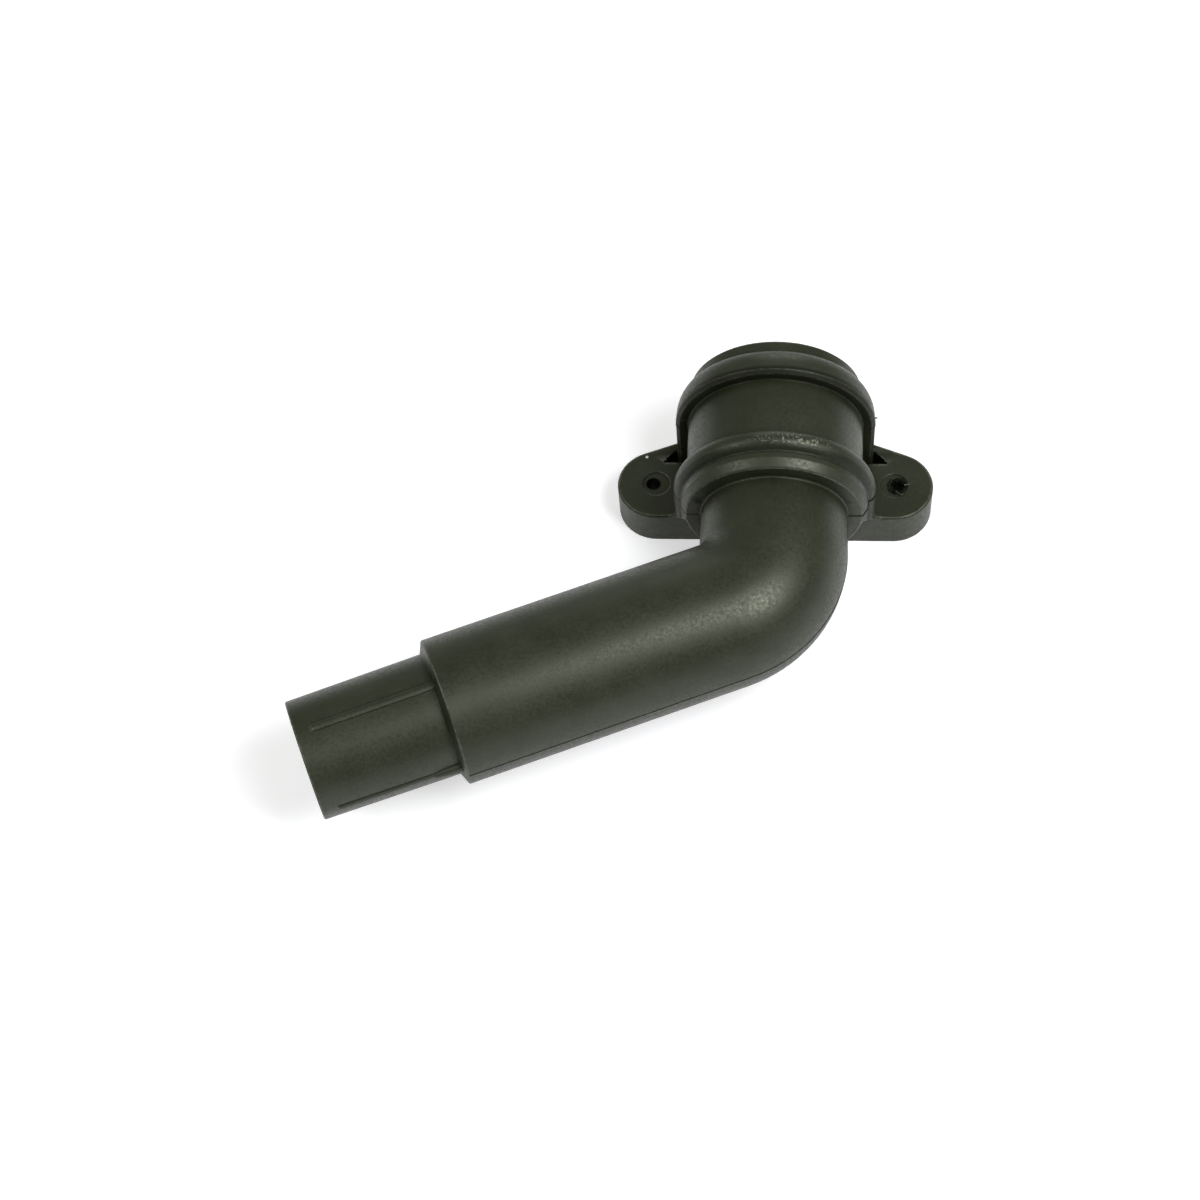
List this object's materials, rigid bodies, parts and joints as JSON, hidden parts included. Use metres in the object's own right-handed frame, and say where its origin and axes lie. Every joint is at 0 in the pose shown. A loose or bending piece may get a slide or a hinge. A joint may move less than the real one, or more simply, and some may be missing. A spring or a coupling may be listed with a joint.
{
  "type": "downpipe bend",
  "caption": "One-piece moulded round downpipe bend with a beaded, eared socket at one end and a long leg with a reduced ribbed spigot.",
  "frame": {"origin": "midway between the two screw holes, on the wall face of the lugs", "axes": "+Z out of the wall, +Y up the socket towards its mouth, the leg leaves towards -X and -Y parallel to the wall"},
  "size_m": [0.293, 0.2259, 0.0948],
  "materials": {
    "moulded_plastic": "satin, near black, lightly mottled from the mould"
  },
  "bodies": {
    "root": {"downpipe_bend": "moulded_plastic"}
  },
  "joints": []
}
